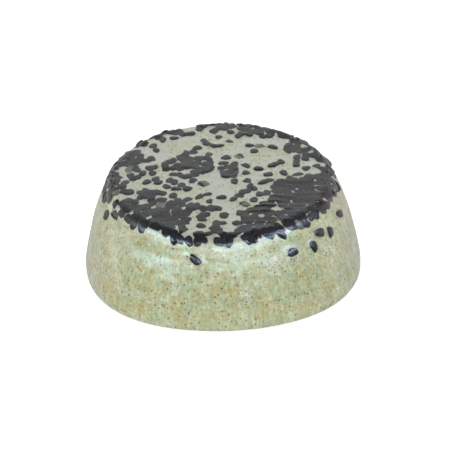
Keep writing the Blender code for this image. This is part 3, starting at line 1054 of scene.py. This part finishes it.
def sky_ramp(add, link, measure, stops):
    """Grey levels along one measure of the direction looked in."""
    return ramp(add, link, measure, [(place, (value,) * 3) for place, value in stops])


def scaled_colour(add, link, colour, amount):
    """A colour times a number."""
    node = add("VectorMath", operation="SCALE")
    link(colour, node.inputs[0])
    node.inputs["Scale"].default_value = amount
    return node.outputs["Vector"]


def mirrored_room(add, link):
    """What shiny surfaces see: a row of windows in front and a pale backdrop behind."""
    axes = add("SeparateXYZ")
    link(add("TexCoord").outputs["Generated"], axes.inputs["Vector"])
    sideways = mapped(add, link, axes.outputs["X"], (-1.0, 1.0))
    backdrop = sky_ramp(add, link, axes.outputs["Z"], (
        (0.0, 0.80), (0.10, 0.70), (0.22, 0.48), (0.56, 0.46), (0.70, 0.23), (0.86, 0.03),
        (1.0, 0.02),
    ))
    band = sky_ramp(add, link, axes.outputs["Z"], (
        (0.27, 0.02), (0.40, 1.0), (0.58, 1.0), (0.68, 0.02),
    ))
    panes = sky_ramp(add, link, sideways, (
        (0.02, 0.40), (0.07, 0.90), (0.27, 1.0), (0.35, 0.15), (0.42, 0.15), (0.48, 1.0),
        (0.84, 1.0), (0.93, 0.45),
    ))
    windows = add("VectorMath", operation="MULTIPLY")
    link(band, windows.inputs[0])
    link(panes, windows.inputs[1])
    glowing = add("VectorMath", operation="MULTIPLY")
    link(windows.outputs["Vector"], glowing.inputs[0])
    glowing.inputs[1].default_value = [WINDOW_GLOW * c for c in WINDOW_TINT]
    room = add("Mix", data_type="RGBA")
    behind = mapped(add, link, axes.outputs["Y"], (-0.35, 0.25), smooth=True)
    link(behind, room.inputs["Factor"])
    link(glowing.outputs["Vector"], room.inputs["A"])
    link(scaled_colour(add, link, backdrop, BACKDROP_GLOW), room.inputs["B"])
    return room.outputs["Result"], axes


def world():
    """White to the eye, soft even light on matt surfaces, and a room for reflections."""
    made = bpy.data.worlds.new("studio")
    bpy.context.scene.world = made
    made.use_nodes = True
    made.node_tree.nodes.clear()
    add, link = node_adder(made.node_tree), made.node_tree.links.new
    room, axes = mirrored_room(add, link)
    mirrored = add("Background")
    link(room, mirrored.inputs["Color"])
    fill = add("Background", in_Color=(1, 1, 1, 1))
    overhead = mapped(add, link, axes.outputs["Z"], (0.0, 1.0), to=(FILL_LOW, FILL_HIGH))
    link(overhead, fill.inputs["Strength"])
    seen = add("Background", in_Color=(1, 1, 1, 1))
    path = add("LightPath")
    lighting = add("MixShader")
    link(path.outputs["Is Glossy Ray"], lighting.inputs["Fac"])
    link(fill.outputs["Background"], lighting.inputs[1])
    link(mirrored.outputs["Background"], lighting.inputs[2])
    shown = add("MixShader")
    link(path.outputs["Is Camera Ray"], shown.inputs["Fac"])
    link(lighting.outputs["Shader"], shown.inputs[1])
    link(seen.outputs["Background"], shown.inputs[2])
    link(shown.outputs["Shader"], add("OutputWorld").inputs["Surface"])


def floor():
    """Plain white floor that keeps a faint contact shadow and hardly shows in reflections."""
    made, add, link = shader_tree("floor")
    matte = add("BsdfDiffuse", in_Color=(0.9, 0.9, 0.9, 1))
    glow = add("Emission", in_Strength=FLOOR_GLOW)
    dim = add("Emission", in_Strength=FLOOR_MIRRORED)
    path = add("LightPath")
    lit = add("AddShader")
    link(matte.outputs["BSDF"], lit.inputs[0])
    link(glow.outputs["Emission"], lit.inputs[1])
    seen = add("MixShader")
    link(path.outputs["Is Camera Ray"], seen.inputs["Fac"])
    link(matte.outputs["BSDF"], seen.inputs[1])
    link(lit.outputs["Shader"], seen.inputs[2])
    mirrored = add("MixShader")
    link(path.outputs["Is Glossy Ray"], mirrored.inputs["Fac"])
    link(seen.outputs["Shader"], mirrored.inputs[1])
    link(dim.outputs["Emission"], mirrored.inputs[2])
    finish_surface(add, link, mirrored.outputs["Shader"])
    turns = np.linspace(0, math.tau, FLOOR_CORNERS, endpoint=False)
    verts = [(FLOOR_REACH * math.cos(a), FLOOR_REACH * math.sin(a), -FLOOR_GAP) for a in turns]
    ground = new_mesh("floor", verts, [tuple(range(FLOOR_CORNERS))], [made], smooth=False)


def camera():
    """Long lens, looking down a little on the puck from the front."""
    data = bpy.data.cameras.new("camera")
    data.sensor_width = SENSOR
    data.lens = LENS
    data.shift_x, data.shift_y = LENS_SHIFT
    data.clip_start, data.clip_end = 0.01, 20.0
    made = bpy.data.objects.new("camera", data)
    bpy.context.scene.collection.objects.link(made)
    bpy.context.scene.camera = made
    back = Vector((0, -math.cos(LENS_ELEVATION), math.sin(LENS_ELEVATION)))
    made.location = Vector((0, 0, LENS_AIM_HEIGHT)) + back * LENS_DISTANCE
    look = (-back).to_track_quat("-Z", "Y")
    made.rotation_euler = look.to_euler()
    made.rotation_euler.rotate_axis("Z", -LENS_ROLL)


world()
floor()
camera()
centre = (0, 0, HEIGHT / 2)
area_light(
    "softbox_front", (-0.16, -0.69, 0.40), centre, (1.0, 0.30),
    power=1.8, colour=(0.98, 0.99, 1.0), mirrored=False, lights=True,
)
area_light(
    "window_right", (0.52, -0.21, 0.56), centre, (0.30, 0.30),
    power=1.5, colour=(0.74, 0.72, 1.0), mirrored=True, lights=False,
)
bpy.context.scene.view_settings.view_transform = "Standard"
